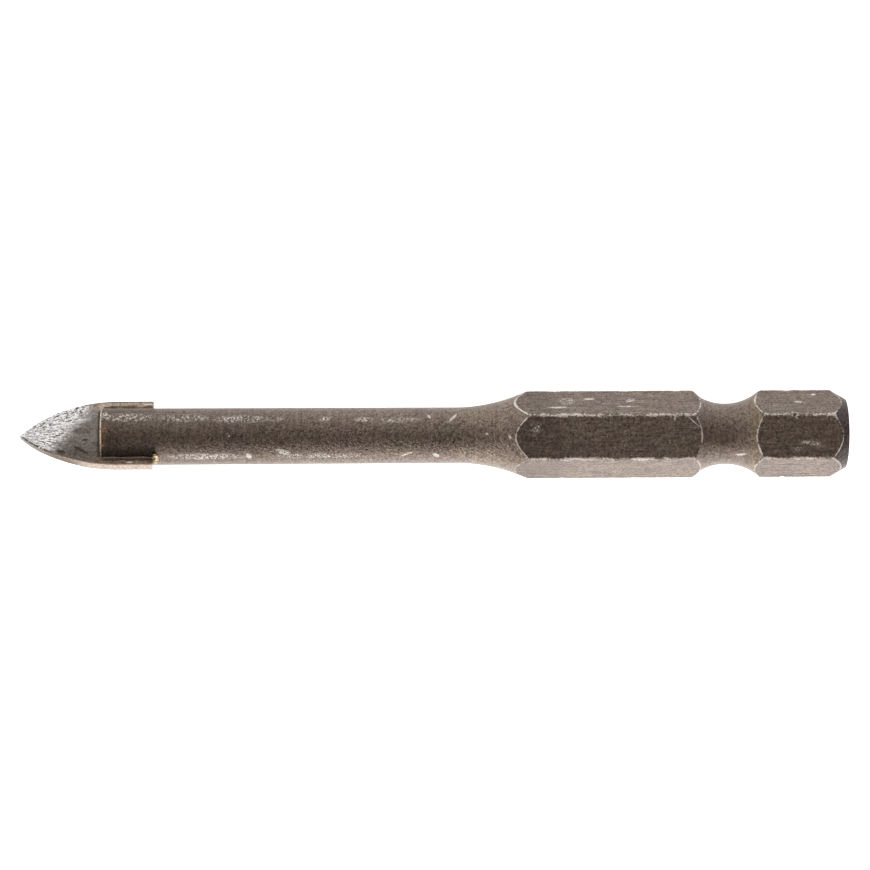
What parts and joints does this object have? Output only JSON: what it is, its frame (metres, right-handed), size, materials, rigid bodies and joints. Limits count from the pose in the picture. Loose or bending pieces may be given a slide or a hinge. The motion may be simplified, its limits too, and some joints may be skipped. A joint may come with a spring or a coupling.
{
  "type": "spear-point drill bit",
  "caption": "Spear-point drill bit for glass and tile: a carbide plate brazed into a round shaft with a grooved hexagonal quick-change shank.",
  "frame": {"origin": "centre of the shank's flat end face, on the bit's axis", "axes": "+X along the axis, out of the shank's end face; the point is at the -X end; +Z out of one flat of the hexagon"},
  "size_m": [0.0681, 0.0072, 0.0064],
  "materials": {
    "steel": "blasted and tempered steel, warm grey-brown, worn bright on its corners",
    "carbide": "ground sintered carbide, bright at the point and flux-stained at the slot",
    "braze": "heat-tinted brazing solder, golden brown"
  },
  "bodies": {
    "root": {"shank": "steel", "carbide_tip": "carbide", "braze": "braze"}
  },
  "joints": []
}
